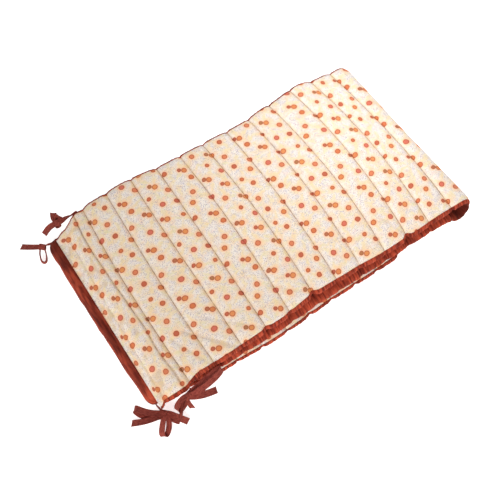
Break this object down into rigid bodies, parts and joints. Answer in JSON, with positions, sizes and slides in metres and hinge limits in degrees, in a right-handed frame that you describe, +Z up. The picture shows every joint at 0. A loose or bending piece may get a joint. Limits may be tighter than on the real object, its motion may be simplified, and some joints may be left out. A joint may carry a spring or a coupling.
{
  "type": "crib bumper",
  "caption": "Long quilted cot bumper folded in a Z, printed cotton on one face and crinkled gauze on the other, with tape ties tied in bows.",
  "frame": {"origin": "centre of the underside of the folded pile's bounding box, on the surface that it lies on", "axes": "+X along the pile from its left fold to its outer fold, +Y across the pad to the far long side, +Z up"},
  "size_m": [0.6776, 0.4218, 0.0589],
  "materials": {
    "printed_cotton": "matt printed percale, warm off-white ground with orange berries and pale yellow leaves",
    "terracotta_gauze": "matt crinkled double gauze, terracotta",
    "tie_tape": "matt folded gauze tape, dusty maroon"
  },
  "bodies": {
    "root": {"print_panel": "printed_cotton", "gauze_panel": "terracotta_gauze", "tie_top_near": "tie_tape", "tie_fold_near": "tie_tape", "tie_top_far": "tie_tape", "tie_fold_far": "tie_tape"}
  },
  "joints": []
}
